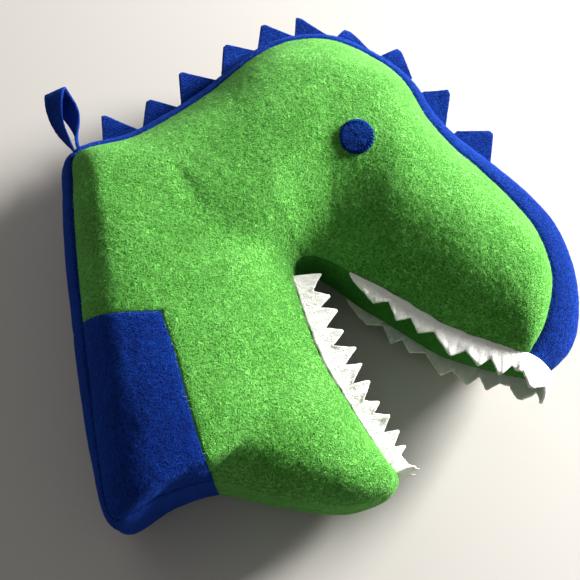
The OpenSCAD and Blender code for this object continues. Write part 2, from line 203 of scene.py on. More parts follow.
def gusset_form(u, turn, swell=1.0):
    """The crest, back and chin pieces: turn goes from 0 at the right seam to pi at the left,
    and the bulge past the seams grows as the sine of turn to the power 1.2."""
    plan = smooth(outer_seam, u)[:, None] + out_of_body(u)[:, None] * (
        swell * smooth(outer_bulge, u)[:, None] * np.sin(turn)[None] ** 1.2)[..., None]
    z = middle_z + smooth(outer_half, u)[:, None] * np.cos(turn)[None]
    return np.dstack([plan, z])


def lining_form(u, turn, swell=1.0):
    """The mouth linings bulge into the mouth, and at both tips they meet the lip's round."""
    snout = np.interp(u, [0, 1, 2, 3], [1, 0.5, 0.1, 0])[:, None]
    jaw = np.interp(u, [28, 29, 30, 31], [0, 0.1, 0.5, 1])[:, None]
    reach = into_mouth(u) * smooth(mouth_bulge, u)[:, None] * swell * (1 - snout) * (1 - jaw)
    reach = reach + snout_lip * snout + jaw_lip * jaw
    plan = smooth(mouth_seam, u)[:, None] + reach[:, None] * (np.sin(turn)[None] ** 1.2)[..., None]
    z = middle_z + smooth(mouth_half, u)[:, None] * np.cos(turn)[None]
    return np.dstack([plan, z])


# The grid of the skin: coarse cells for stuffing it, and fine ones, FINE to a coarse cell, for
# the cloth that shows. Each stretch between two corners of the pattern has whole coarse cells,
# and so has each strip round the body: a side, the outer pieces and the mouth lining.
FINE = 4
corners = [0, 16, 20, 23, 25, 31]
stretch_cells = [96, 24, 24, 12, 24]
SIDE, WIDE, LINING = 24, 16, 12


def ribs(fine):
    """Stations of the ribs, evenly spaced along the outer seam within each stretch."""
    found = []
    for start, end, cells in zip(corners, corners[1:], stretch_cells):
        u = np.linspace(start, end, 40 * (end - start) + 1)
        run = np.linalg.norm(np.diff(smooth(outer_seam, u), axis=0), axis=1)
        length = np.concatenate([[0], np.cumsum(run)])
        found.append(np.interp(np.linspace(0, length[-1], cells * fine + 1), length, u)[:-1])
    return np.concatenate(found + [[corners[-1]]])


def skin_strips(fine, puff=1.0, swell=1.0):
    """The four strips that go round the body, with both of their seams: right side, outer
    gusset, left side and mouth lining."""
    u = ribs(fine)
    v = np.linspace(0, 1, SIDE * fine + 1)
    wide = np.linspace(0, np.pi, WIDE * fine + 1)
    inner = np.linspace(np.pi, 0, LINING * fine + 1)
    return [side_form(u, v, 1, puff), gusset_form(u, wide, swell),
            side_form(u, v[::-1], -1, puff), lining_form(u, inner, swell)]


def make_mesh(name, points, quads, triangles=np.zeros((0, 3), int)):
    """A mesh from arrays, in metres, without the points that no face uses."""
    faces = np.concatenate([quads.ravel(), triangles.ravel()])
    used, faces = np.unique(faces, return_inverse=True)
    mesh = bpy.data.meshes.new(name)
    mesh.vertices.add(len(used))
    mesh.vertices.foreach_set("co", points[used].astype(np.float32).ravel())
    mesh.loops.add(len(faces))
    mesh.loops.foreach_set("vertex_index", faces.astype(np.int32))
    sizes = np.concatenate([np.full(len(quads), 4), np.full(len(triangles), 3)])
    mesh.polygons.add(len(sizes))
    mesh.polygons.foreach_set("loop_start", np.concatenate([[0], np.cumsum(sizes)[:-1]]).astype(np.int32))
    mesh.polygons.foreach_set("use_smooth", np.ones(len(sizes), bool))
    mesh.update(calc_edges=True)
    mesh.validate()
    piece = bpy.data.objects.new(name, mesh)
    bpy.context.collection.objects.link(piece)
    return piece


def grid_quads(rows, columns, closed=False):
    """Faces of a grid of points, row by row, that face the way of column cross row."""
    i, j = np.meshgrid(np.arange(rows - 1), np.arange(columns if closed else columns - 1), indexing="ij")
    n = (j + 1) % columns
    a, b = i * columns + j, i * columns + n
    return np.stack([a, b, b + columns, a + columns], -1).reshape(-1, 4)


def end_caps(rows, around):
    """Triangles from the first and last loops of a closed grid to the two points after it."""
    j = np.arange(around)
    n = (j + 1) % around
    last = (rows - 1) * around
    hub = np.full(around, rows * around)
    return np.concatenate([
        np.stack([hub, n, j], -1), np.stack([hub + 1, last + j, last + n], -1)])


def ring_of(strips):
    """One closed loop of points at each rib, from the strips without their shared seams."""
    return np.concatenate([s[:, :-1] for s in strips], 1)


def closed_on(ring):
    """The loops with their first point added again at the end."""
    return np.concatenate([ring, ring[:, :1]], 1)


def out_of(surface):
    """Direction out of the closed skin: its columns' direction crossed with its rows'."""
    ring = surface[:, :-1]
    across = np.roll(ring, -1, 1) - np.roll(ring, 1, 1)
    return closed_on(unit(np.cross(across, np.gradient(ring, axis=0))))


def stuffed(puff=0.93, swell=0.75, most=4.0):
    """How far the stuffing moves the coarse skin: the closed skin, cut a little small, is cloth
    blown up from inside with its seams held, and no point moves further than most."""
    ring = ring_of(skin_strips(1, puff, swell))
    count, around = ring.shape[:2]
    points = np.concatenate([ring.reshape(-1, 3), ring[:1].mean(1), ring[-1:].mean(1)]) * MM
    cloth = make_mesh("skin", points, grid_quads(count, around, True), end_caps(count, around))
    held = np.zeros((count, around), bool)
    held[:, np.cumsum([0, SIDE, WIDE, SIDE])] = True
    tip_rows = 3
    held[:tip_rows], held[-tip_rows:] = True, True
    held = np.append(held.ravel(), [True, True])
    cloth.vertex_groups.new(name="seams").add(np.flatnonzero(held).tolist(), 1, "REPLACE")
    modifier = cloth.modifiers.new("cloth", "CLOTH")
    felt_cloth = modifier.settings
    felt_cloth.quality = 6
    felt_cloth.mass = 0.4
    felt_cloth.tension_stiffness = felt_cloth.compression_stiffness = 12
    felt_cloth.shear_stiffness = 8
    felt_cloth.bending_stiffness = 4
    felt_cloth.use_pressure = True
    felt_cloth.uniform_pressure_force = 5
    felt_cloth.vertex_group_mass = "seams"
    felt_cloth.effector_weights.gravity = 0
    modifier.collision_settings.use_collision = False
    frames = 20
    for step in range(1, frames + 1):
        bpy.context.scene.frame_set(step)
    shown = cloth.evaluated_get(bpy.context.evaluated_depsgraph_get()).to_mesh()
    after = np.zeros(len(shown.vertices) * 3, np.float32)
    shown.vertices.foreach_get("co", after)
    after = after.reshape(-1, 3)[:-2].reshape(ring.shape) / MM
    bpy.data.objects.remove(cloth)
    bpy.context.scene.frame_set(1)
    move = after - ring
    far = np.linalg.norm(move, axis=-1, keepdims=True)
    move = move * np.minimum(1, most / np.maximum(far, 1e-6))
    return ring + move - ring_of(skin_strips(1))


def finer(coarse):
    """A coarse grid of moves brought to the fine grid by a smooth curve along each line."""
    rows = np.arange((len(coarse) - 1) * FINE + 1) / FINE
    coarse = smooth(coarse, rows)
    across = np.swapaxes(coarse, 0, 1)
    columns = np.arange((len(across) - 1) * FINE + 1) / FINE
    return np.swapaxes(smooth(across, columns), 0, 1)


skin = closed_on(ring_of(skin_strips(FINE)))
skin = skin + finer(closed_on(stuffed()))
starts = np.cumsum([0, SIDE, WIDE, SIDE, LINING])
right_cells, round_cells, left_cells, mouth_cells = (slice(a, b) for a, b in zip(starts, starts[1:]))
rows_at = dict(zip(corners, np.cumsum([0] + stretch_cells)))


def blur(field, times):
    """Each pass mixes a point with its four neighbours."""
    for _ in range(times):
        field = np.pad(field, 1, mode="edge")
        field = (field[1:-1, 1:-1] * 4 + field[:-2, 1:-1] + field[2:, 1:-1]
                 + field[1:-1, :-2] + field[1:-1, 2:]) / 8
    return field


def lumps(points, size, seed):
    """Even lumps of that size in space: random values on a cubic lattice, mixed by how near the
    eight corners of its cell are to each point."""
    random = np.random.default_rng(seed)
    place = points / size
    place = place - place.reshape(-1, 3).min(0)
    low = np.floor(place).astype(int)
    lattice = random.normal(size=low.reshape(-1, 3).max(0) + 2)
    part = place - low
    part = part * part * (3 - 2 * part)
    value = 0
    for corner in np.ndindex(2, 2, 2):
        weight = np.prod(np.where(np.array(corner) == 1, part, 1 - part), -1)
        value = value + weight * lattice[tuple(np.moveaxis(low + corner, -1, 0))]
    return value


def seam_dip(surface, lines):
    """How far the cloth is drawn in beside seams: a groove that fades with the square of the
    distance along the cloth. Each line is an axis, its index, the rows or columns it spans and
    its depth."""
    dip = np.zeros(surface.shape[:2])
    for axis, index, span, depth in lines:
        run = np.linalg.norm(np.diff(surface, axis=axis), axis=-1)
        length = np.cumsum(np.insert(run, 0, 0, axis), axis)
        away = np.abs(length - np.take(length, [index], axis))
        here = depth * (np.exp(-((away / 1.2) ** 2)) + 0.35 * np.exp(-((away / 4) ** 2)))
        part = np.zeros(surface.shape[1 - axis])
        part[span] = 1
        dip = np.maximum(dip, here * (part[None, :] if axis == 0 else part[:, None]))
    return dip


# The seams as rows and columns of the fine grid: first the long ones, then those across
everywhere = slice(None)
right_edge, left_edge = SIDE * FINE, (SIDE + WIDE) * FINE
crest_column = (SIDE + WIDE // 2) * FINE
patch_rows = slice(rows_at[20], rows_at[25])
fine_patch = slice(patch_rows.start * FINE, patch_rows.stop * FINE + 1)
round_columns = slice(right_edge, left_edge + 1)
mouth_columns = slice(starts[3] * FINE, None)
patch_columns = slice(SIDE // 2 * FINE, (starts[3] - SIDE // 2) * FINE + 1)
seam_lines = [
    (1, 0, everywhere, 0.5), (1, starts[3] * FINE, everywhere, 0.5), (1, starts[4] * FINE, everywhere, 0.5),
    (1, right_edge, everywhere, 0.55), (1, left_edge, everywhere, 0.55),
    (1, crest_column, slice(0, rows_at[16] * FINE + 1), 0.6),
    (0, rows_at[16] * FINE, round_columns, 0.55), (0, rows_at[16] * FINE, mouth_columns, 0.5),
    (0, rows_at[23] * FINE, round_columns, 0.55), (0, rows_at[25] * FINE, round_columns, 0.45),
    (0, patch_rows.start * FINE, patch_columns, 0.45),
    (1, patch_columns.start, fine_patch, 0.45), (1, patch_columns.stop - 1, fine_patch, 0.45)]
# The felt's own thickness, and the small lumps of its face
felt_thickness = 1.4
nap = 0.06 * lumps(skin, 1.1, 1) + 0.06 * lumps(skin, 3.4, 2)
out = out_of(skin)
skin = skin + out * (nap - seam_dip(skin, seam_lines))[..., None]
skin[..., 2] = pressed(skin[..., 2])
inner_skin = (skin - out * felt_thickness)[::FINE, ::FINE]
coarse_shape = (inner_skin.shape[0] - 1, inner_skin.shape[1] - 1)


def cells(rows, columns):
    """A mask of the coarse cells in those rows and columns."""
    mask = np.zeros(coarse_shape, bool)
    mask[rows, columns] = True
    return mask


def felt_piece(name, mask):
    """A closed piece of felt on the coarse cells of the mask: a fine outer face, a coarse inner
    face one thickness below it, and walls that fan between them along the cut edge."""
    rows, columns = skin.shape[:2]
    low_columns = inner_skin.shape[1]
    points = np.concatenate([skin.reshape(-1, 3), inner_skin.reshape(-1, 3)]) * MM
    base = rows * columns
    fine_mask = np.repeat(np.repeat(mask, FINE, 0), FINE, 1).ravel()
    top = grid_quads(rows, columns)[fine_mask]
    bottom = grid_quads(*inner_skin.shape[:2])[mask.ravel()][:, ::-1] + base
    wide_mask = np.pad(mask, 1)
    walls = []
    # Each side of a cell: the step to its neighbour, and its edge from one corner to the next
    for (di, dj), (ai, aj), (bi, bj) in (
            ((0, -1), (1, 0), (0, 0)), ((0, 1), (0, 1), (1, 1)),
            ((-1, 0), (0, 0), (0, 1)), ((1, 0), (1, 1), (1, 0))):
        next_to = wide_mask[1 + di:1 + di + mask.shape[0], 1 + dj:1 + dj + mask.shape[1]]
        i, j = np.nonzero(mask & ~next_to)
        k = np.arange(FINE + 1)[None]
        edge_i = (i + ai)[:, None] * FINE + (bi - ai) * k
        edge_j = (j + aj)[:, None] * FINE + (bj - aj) * k
        edge = edge_i * columns + edge_j
        a = base + (i + ai) * low_columns + (j + aj)
        b = base + (i + bi) * low_columns + (j + bj)
        half = FINE // 2
        for step in range(FINE):
            low = a if step < half else b
            walls.append(np.stack([edge[:, step], low, edge[:, step + 1]], -1))
        walls.append(np.stack([edge[:, half], a, b], -1))
    return make_mesh(name, points, np.concatenate([top, bottom]), np.concatenate(walls))


# ---------------------------------------------------------------- felt
# All the cloth is one kind of felt: wool, dyed in the piece and fulled until its hairs mat into
# a dense, dull face that doesn't fray, so the edges are left as they were cut.
def felt(name, dark, middle, light, sheen=0.3, curl=1.0, pale=0.03):
    """Fulled wool. Fine hairs lie in curls: each set follows the lines on which a noise has its
    middle value, so it is light near those lines and dark between them. Wide clouds and a fine
    grain shift the tone, the hairs stand up as bump, and loose ends give a soft sheen."""
    material = bpy.data.materials.new(name)
    material.use_nodes = True
    nodes, links = material.node_tree.nodes, material.node_tree.links
    shader = nodes["Principled BSDF"]
    place = nodes.new("ShaderNodeTexCoord").outputs["Object"]

    def noise(scale, detail, shift=0.0, distortion=0.0):
        """A noise on the piece's own coordinates, moved along by the shift."""
        moved = nodes.new("ShaderNodeMapping")
        moved.inputs["Location"].default_value = (shift, shift * 0.7, shift * 0.4)
        links.new(place, moved.inputs["Vector"])
        texture = nodes.new("ShaderNodeTexNoise")
        texture.inputs["Scale"].default_value = scale
        texture.inputs["Detail"].default_value = detail
        texture.inputs["Distortion"].default_value = distortion
        links.new(moved.outputs["Vector"], texture.inputs["Vector"])
        return texture.outputs["Fac"]

    def maths(kind, *values):
        """One operation on numbers or on other nodes' outputs."""
        node = nodes.new("ShaderNodeMath")
        node.operation = kind
        for socket, value in zip(node.inputs, values):
            if isinstance(value, (int, float)):
                socket.default_value = value
            else:
                links.new(value, socket)
        return node.outputs[0]

    def hairs(scale, shift, thin):
        """1 on the lines where the noise is one half, down to 0 away from them."""
        off = maths("ABSOLUTE", maths("SUBTRACT", noise(scale, 1.0, shift, 0.8), 0.5))
        return maths("MAXIMUM", maths("SUBTRACT", 1.0, maths("MULTIPLY", off, thin)), 0.0)

    curls = maths("MAXIMUM", hairs(420, 0.0, 16), maths("MULTIPLY", hairs(560, 0.37, 14), 0.85))
    curls = maths("MAXIMUM", curls, maths("MULTIPLY", hairs(760, 0.71, 12), 0.7))
    grain = noise(1300, 2.0)
    tone = maths("ADD", maths("MULTIPLY", curls, 0.42 * curl), maths("MULTIPLY", grain, 0.35))
    tone = maths("ADD", tone, maths("MULTIPLY", noise(45, 2.0), 0.30))
    ramp = nodes.new("ShaderNodeValToRGB")
    ramp.color_ramp.elements[0].position, ramp.color_ramp.elements[1].position = 0.26, 0.74
    ramp.color_ramp.elements[0].color = (*dark, 1)
    ramp.color_ramp.elements[1].color = (*light, 1)
    between = ramp.color_ramp.elements.new(0.48)
    between.color = (*middle, 1)
    links.new(tone, ramp.inputs["Fac"])
    links.new(ramp.outputs["Color"], shader.inputs["Base Color"])
    bump = nodes.new("ShaderNodeBump")
    bump.inputs["Strength"].default_value = 0.8 * curl
    bump.inputs["Distance"].default_value = 0.0008
    links.new(maths("ADD", curls, grain), bump.inputs["Height"])
    links.new(bump.outputs["Normal"], shader.inputs["Normal"])
    shader.inputs["Roughness"].default_value = 0.95
    shader.inputs["Specular IOR Level"].default_value = 0.04
    shader.inputs["Sheen Weight"].default_value = sheen
    shader.inputs["Sheen Roughness"].default_value = 0.5
    tint = [pale + (1 - pale) * colour / max(light) for colour in light]
    shader.inputs["Sheen Tint"].default_value = (*tint, 1)
    return material


green = felt("green_wool_felt", (0.022, 0.140, 0.008), (0.054, 0.270, 0.023), (0.17, 0.56, 0.10),
             sheen=0.5, pale=0.18)
# The mouth's felt is the sides' green painted darker: painted shade for the inside of the mouth.
mouth_painted_shade_green = felt("mouth_felt_painted_shade", (0.006, 0.060, 0.006), (0.020, 0.14, 0.014), (0.06, 0.28, 0.04))
blue = felt("blue_wool_felt", (0.0002, 0.003, 0.050), (0.0003, 0.006, 0.085), (0.003, 0.030, 0.22), 0.8)
green_hair = felt("green_wool_hair", (0.11, 0.45, 0.06), (0.20, 0.62, 0.11), (0.34, 0.80, 0.22))
blue_hair = felt("blue_wool_hair", (0.001, 0.012, 0.12), (0.003, 0.03, 0.22), (0.02, 0.10, 0.50), 0.6)
white = felt("white_wool_felt", (0.80, 0.79, 0.74), (0.90, 0.89, 0.85), (0.96, 0.955, 0.935), 0.2, 0.5)


def finish_felt(piece, material, body, node):
    """Give a piece its cloth, put it on the body it rides on, and hide the CAD node it stands for."""
    piece.data.materials.append(material)
    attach(piece, body)
    if node:
        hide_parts(node)
    return piece


# ---------------------------------------------------------------- loose hairs
# Carding and washing leave loose wool hairs on the face of the felt. They lie in open curls,
# held at the root, and are a little paler than the cloth because the light comes through.
hair_steps = 4


def loose_hairs(name, mask, count, seed, length=(1.5, 3.8), width=0.13, lift=(0.1, 0.45)):
    """Thin ribbons on the cells of the mask. Each starts at a random place, evenly by area, and
    runs on in the cloth's face while it turns at its own steady rate; it stands off the cloth
    by half a sine wave of its lift, and narrows to its end."""
    random = np.random.default_rng(seed)
    fine_mask = np.repeat(np.repeat(mask, FINE, 0), FINE, 1).ravel()
    cloth = grid_quads(*skin.shape[:2])[fine_mask]
    a, b, c, d = skin.reshape(-1, 3)[cloth.T]
    area = np.linalg.norm(np.cross(c - a, d - b), axis=1)
    chosen = random.choice(len(cloth), count, p=area / area.sum())
    s, t = random.uniform(size=(2, count, 1))
    a, b, c, d = (corner[chosen] for corner in (a, b, c, d))
    root = (a * (1 - s) + b * s) * (1 - t) + (d * (1 - s) + c * s) * t
    way = unit(out.reshape(-1, 3)[cloth[chosen]].mean(1))
    one = unit(np.cross(way, [0.31, 0.52, 0.79]))
    two = np.cross(way, one)
    step = np.linspace(0, 1, hair_steps + 1)[None]
    long = random.uniform(*length, size=(count, 1))
    angle = random.uniform(0, 2 * np.pi, (count, 1)) + random.normal(0, 1.6, (count, 1)) * step
    ahead, aside = (np.cumsum(f(angle), 1) * long / (hair_steps + 1) for f in (np.cos, np.sin))
    high = random.uniform(*lift, size=(count, 1)) * np.sin(np.pi * step * 0.85 + 0.15) - 0.02
    line = (root[:, None] + one[:, None] * ahead[..., None] + two[:, None] * aside[..., None]
            + way[:, None] * high[..., None])
    beside = one[:, None] * -np.sin(angle)[..., None] + two[:, None] * np.cos(angle)[..., None]
    half = (width / 2 * (1 - 0.75 * step))[..., None]
    sides = np.stack([line - beside * half, line + beside * half], 2)
    base = (np.arange(count) * 2 * (hair_steps + 1))[:, None] + 2 * np.arange(hair_steps)[None]
    quads = np.stack([base, base + 2, base + 3, base + 1], -1).reshape(-1, 4)
    lowest = 0.05
    sides[..., 2] = np.maximum(sides[..., 2], lowest)
    return make_mesh(name, sides.reshape(-1, 3) * MM, quads)


# ---------------------------------------------------------------- side panels and neck patches
# Each side is one piece of green felt, from the snout round the corner of the mouth to the
# jaw, with a blue patch pieced into the lower corner of the neck.
right_patch = cells(patch_rows, slice(SIDE // 2, SIDE))
left_patch = cells(patch_rows, slice(starts[2], starts[2] + SIDE // 2))
right_side = cells(everywhere, right_cells) & ~right_patch
left_side = cells(everywhere, left_cells) & ~left_patch
for name, node, mask, material, slot in (
        ("right_side_felt", "right_side_panel", right_side, green, "green_felt"),
        ("left_side_felt", "left_side_panel", left_side, green, "green_felt"),
        ("right_neck_patch_felt", "right_neck_patch", right_patch, blue, "blue_felt"),
        ("left_neck_patch_felt", "left_neck_patch", left_patch, blue, "blue_felt")):
    finish_felt(felt_piece(name, mask), material, "head", node)
for name, mask, count, material, slot, seed in (
        ("right_side_hairs", right_side, 9000, green_hair, "green_felt", 71),
        ("left_side_hairs", left_side, 9000, green_hair, "green_felt", 72),
        ("right_patch_hairs", right_patch, 900, blue_hair, "blue_felt", 73),
        ("left_patch_hairs", left_patch, 900, blue_hair, "blue_felt", 74)):
    finish_felt(loose_hairs(name, mask, count, seed), material, "head", None)

# ---------------------------------------------------------------- crest, back, under-neck and chin
# The narrow pieces that give the head its width: two blue halves over the crest, which meet
# where the spikes are sewn in, a blue back, a blue piece under the neck and a green chin.
middle_cell = SIDE + WIDE // 2
for name, node, start, end, columns, material, slot in (
        ("right_crest_felt", "right_crest_gusset", 0, 16, slice(SIDE, middle_cell), blue, "blue_felt"),
        ("left_crest_felt", "left_crest_gusset", 0, 16, slice(middle_cell, SIDE + WIDE), blue, "blue_felt"),
        ("back_felt", "back_panel", 16, 23, round_cells, blue, "blue_felt"),
        ("under_neck_felt", "under_neck_panel", 23, 25, round_cells, blue, "blue_felt"),
        ("chin_felt", "chin_gusset", 25, 31, round_cells, green, "green_felt")):
    finish_felt(felt_piece(name, cells(slice(rows_at[start], rows_at[end]), columns)), material,
                "head", node)

finish_felt(loose_hairs("round_blue_hairs", cells(slice(0, rows_at[25]), round_cells), 5000, 75),
            blue_hair, "head", None)
finish_felt(loose_hairs("chin_hairs", cells(slice(rows_at[25], None), round_cells), 900, 76),
            green_hair, "head", None)

# ---------------------------------------------------------------- mouth linings
# A green palate and a green lower lining, in a smoother felt painted darker than the sides' green as
# painted shade inside the mouth, seamed to one another across the corner of the mouth and to the sides
# along the jaws.
for name, node, start, end in (("palate_felt", "palate_lining", 0, 16),
                               ("lower_mouth_felt", "lower_mouth_lining", 16, 31)):
    finish_felt(felt_piece(name, cells(slice(rows_at[start], rows_at[end]), mouth_cells)),
                mouth_painted_shade_green, "head", node)

# ---------------------------------------------------------------- stuffing
# Firm polyester fibre, pushed in through the back before it is closed, fills the skin. It is
# one closed mass just inside the felt.
fibre_gap = 3.0
fibre_tip_rows = 4


def fibre_mass():
    """The skin's coarse loops moved inward by the gap, with a point at the middle of each end."""
    inside = (skin - out * fibre_gap)[::FINE, ::FINE][fibre_tip_rows:-fibre_tip_rows, :-1]
    count, around = inside.shape[:2]
    points = np.concatenate([inside.reshape(-1, 3), inside[:1].mean(1), inside[-1:].mean(1)])
    quads = grid_quads(count, around, True)
    return make_mesh("fibre_stuffing", points * MM, quads, end_caps(count, around))


fibre = felt("polyester_fibre", (0.55, 0.54, 0.50), (0.70, 0.69, 0.66), (0.82, 0.81, 0.79), 0.1)
stuffing = finish_felt(fibre_mass(), fibre, "head", "head_stuffing")
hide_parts("neck_stuffing", "jaw_stuffing")

# ---------------------------------------------------------------- teeth
# White felt cut by hand into a saw edge. Each jaw has one strip, sewn into the mouth seam down
# one side, round the tip and back up the other side, and it hangs square to the seam.
tooth_thickness = 1.3
mouth_run = np.linspace(0, last_station, 3101)
mouth_steps = np.linalg.norm(np.diff(smooth(mouth_seam, mouth_run), axis=0), axis=1)
mouth_arc = np.concatenate([[0], np.cumsum(mouth_steps)])
# Along the seam from the rear, in millimetres, and the depth of the cut edge there
upper_cut = [
    (0, 0.6), (3, 2.5), (8, 4.2), (17, 7.4), (23.5, 3.6), (31.5, 9.2), (36.5, 4.6), (43.5, 8.8),
    (49, 4.4), (59.5, 11.4), (65, 6.6), (72.5, 11.4), (77, 6.2), (84, 12.6), (88, 6.4), (91, 8)]
lower_cut = [
    (0, 9), (1.5, 12.6), (10.5, 6), (14.8, 13.4), (19.2, 6.4), (23, 14.2), (29.8, 5.8),
    (34.4, 13.2), (39.8, 5.6), (45.8, 15.4), (51.2, 6.6), (55.2, 14), (61.2, 4.6), (63.6, 13),
    (70.4, 5.4), (74.6, 11.8), (77.7, 6.4), (83, 12), (87.9, 5.2), (91, 12.2), (95.7, 5.4),
    (98.6, 11.5), (101, 6)]
upper_tip_cut = [(0, 8), (0.16, 12.5), (0.32, 6.5), (0.5, 12.5), (0.68, 6), (0.84, 12), (1, 8)]
lower_tip_cut = [(0, 6), (0.3, 9), (0.5, 5.5), (0.7, 9), (1, 6)]


def flat_felt(name, front, rear, turned=False):
    """A closed piece from the two faces of a flat strip, given as equal grids, with walls all
    round. Turned, its faces go the other way about."""
    rows, columns = front.shape[:2]
    base = rows * columns
    faces = grid_quads(rows, columns)
    i, j = np.arange(rows - 1) * columns, np.arange(columns - 1)
    first, last = i, i + columns - 1
    end = base - columns + j
    walls = [
        np.stack([first, first + columns, base + first + columns, base + first], -1),
        np.stack([last, base + last, base + last + columns, last + columns], -1),
        np.stack([j, base + j, base + j + 1, j + 1], -1),
        np.stack([end, end + 1, base + end + 1, base + end], -1)]
    quads = np.concatenate([faces, faces[:, ::-1] + base] + walls)
    points = np.concatenate([front.reshape(-1, 3), rear.reshape(-1, 3)]) * MM
    return make_mesh(name, points, quads[:, ::-1] if turned else quads)


def tooth_strip(name, rear, front, lip, cut, tip_cut, fan, seed):
    """A strip that follows the mouth seam: its lines run square to the seam from the root to
    the cut edge, whose depth goes straight from each point of the cut list to the next, with
    its points blunted. The tip is rounded off and the felt waves a little."""
    random = np.random.default_rng(seed)
    rear_arc, front_arc = np.interp([rear, front], mouth_run, mouth_arc)
    length = abs(front_arc - rear_arc)
    s = np.arange(0, length, 0.4)
    run, depth = np.array(cut).T
    near_depth = np.interp(s, run, depth)
    far_depth = np.interp(
        s, run + random.uniform(-1, 1, len(run)), depth * random.uniform(0.9, 1.08, len(run)))
    u = np.interp(rear_arc + (front_arc - rear_arc) * s / length, mouth_arc, mouth_run)
    share = np.linspace(0, 1, 64)[1:-1]
    turn = np.concatenate([0 * s, np.pi * share, np.pi + 0 * s])
    u = np.concatenate([u, 0 * share + front, u[::-1]])
    tip_depth = np.interp(share, *np.array(tip_cut).T)
    depth = 1.08 * np.concatenate([near_depth, tip_depth, far_depth[::-1]])
    depth = np.minimum(depth, np.convolve(np.pad(depth, 3, "edge"), np.full(7, 1 / 7), "valid") + 0.25)
    hang = unit(into_mouth(np.clip(u, 1.5, 30)) + fan * unit(lip) * np.sin(turn)[:, None])
    hang = np.column_stack([hang, 0 * turn])
    plan = smooth(mouth_seam, u) + lip * (np.sin(turn) ** 1.2)[:, None]
    z = middle_z + smooth(mouth_half, u) * np.cos(turn)
    root = np.column_stack([plan, z])
    way = unit(lip)
    face = unit(np.column_stack([way[0] * np.sin(turn), way[1] * np.sin(turn), np.cos(turn)]))
    rows = np.linspace(-0.12, 1, 12)
    down = depth[:, None] * rows[None]
    wave = blur(random.normal(size=down.shape), 14)
    wave = 0.35 * wave / wave.std() * np.clip(rows, 0, 1)[None]
    rough = blur(random.normal(size=down.shape), 1)
    rough = 0.05 * rough / rough.std()
    middle = root[:, None] + hang[:, None] * down[..., None] + face[:, None] * (wave + 0.4)[..., None]
    ragged = random.normal(size=len(depth))[:, None] * 0.10 * (rows == 1)[None]
    middle = middle + hang[:, None] * ragged[..., None]
    thin = tooth_thickness / 2 * np.where(rows == 1, 0.75, 1)[None] + rough
    off = face[:, None] * thin[..., None]
    return flat_felt(name, middle + off, middle - off, rear < front)


upper = tooth_strip("upper_tooth_strip", 8, 0, snout_lip, upper_cut, upper_tip_cut, -0.12, 21)
lower = tooth_strip("lower_tooth_strip", 18.85, 31, jaw_lip, lower_cut, lower_tip_cut, 1.6, 22)
finish_felt(upper, white, "head", "upper_teeth")
finish_felt(lower, white, "head", "lower_teeth")

# ---------------------------------------------------------------- crest spikes
# Ten triangles of blue felt, cut by eye, each of two layers, with their roots caught in the
# seam along the crest. Some lean along it, and some have flopped a little to one side.
spike_station = [15.1, 14.0, 13.05, 12.12, 11.2, 10.45, 9.7, 8.75, 7.35, 5.75]
spike_half_base = [11, 11, 12, 11, 10.5, 9.5, 10, 10.5, 12, 12]
spike_height = [16.5, 13, 16, 12.5, 12.5, 11.5, 8.5, 10.5, 12, 13]
spike_lean = [-6, 0.5, -0.5, 1, -4, -8.5, -8, -6, -7, 1]
# How far each tip has flopped out of the middle plane
spike_flop = [0.5, -0.5, 0.5, 0, 0.5, 1.5, -3, -1.5, 1, 0]
spike_thickness = 2.0
spike_root = 5.0


def spike(k):
    """A blade over a leaning triangle: lines run from the root, below the crest's face, out to
    the two sloping edges, whose corner is rounded. The blade is thin at its edge, and bends out
    of the middle plane as the square of the height."""
    random = np.random.default_rng(40 + k)
    u = np.array([spike_station[k]])
    way = out_of_body(u)[0]
    along = np.array([way[1], -way[0]])
    foot = smooth(outer_seam, u)[0] + way * smooth(outer_bulge, u)[0]
    half, tall, lean = spike_half_base[k], spike_height[k], spike_lean[k]
    x = np.concatenate([np.linspace(-half, lean, 31), np.linspace(lean, half, 31)[1:]])
    top = np.interp(x, [-half, lean, half], [0, tall + 1, 0])
    top = np.minimum(top, tall - 0.6) + 0.05
    top = blur(top[:, None], 4)[:, 0] + 0.06 * random.normal(size=len(x))
    rows = np.linspace(0, 1, 18)
    up = -spike_root + (top[:, None] + spike_root) * rows[None]
    blade = np.dstack([np.broadcast_to(x[:, None], up.shape), up, 0 * up])
    rough = lumps(blade, 1.1, 60 + k)
    wave = lumps(blade, 7, 80 + k)
    rise = np.clip(up / tall, 0, 1)
    off = spike_flop[k] * rise ** 2 + 0.2 * wave * rise
    edge = 1 - 0.5 * np.clip((rows - 0.93) / 0.07, 0, 1)[None] * np.ones_like(up)
    thick = spike_thickness / 2 * edge + 0.05 * rough
    plan = foot + along * x[:, None, None] + way * up[..., None]
    front = np.dstack([plan, middle_z + off + thick])
    rear = np.dstack([plan, middle_z + off - thick])
    return flat_felt(f"crest_spike_{k + 1:02d}", front, rear, True)


for k in range(len(spike_station)):
    body = f"spike_{k + 1:02d}"
    finish_felt(spike(k), blue, body, body)

# ---------------------------------------------------------------- eyes
# A disc of blue felt, cut round by eye and sewn flat on each side of the head with small whip
# stitches round its rim.
eye_radius = 8.2
eye_u, eye_v = 9.3, 0.497
eye_felt = felt("eye_wool_felt", (0.0003, 0.006, 0.055), (0.0006, 0.011, 0.10), (0.004, 0.04, 0.24),
                0.5)
eye_row = int(round(np.interp(eye_u, ribs(FINE), np.arange(len(skin)))))
eye_column = int(round(eye_v * SIDE * FINE))
smooth_skin = np.dstack([blur(skin[..., k], 12) for k in range(3)])
near_rows, near_columns, near = 40, 30, 14
eye_rows = slice(eye_row - near_rows, eye_row + near_rows)


def eye_frame(column):
    """The eye's middle on the skin, the way out there, and two directions along the cloth."""
    middle = skin[eye_row, column]
    out = out_of(smooth_skin)[eye_row, column]
    across = unit(np.cross([0.0, 1, 0], out))
    return middle, out, across, np.cross(out, across)


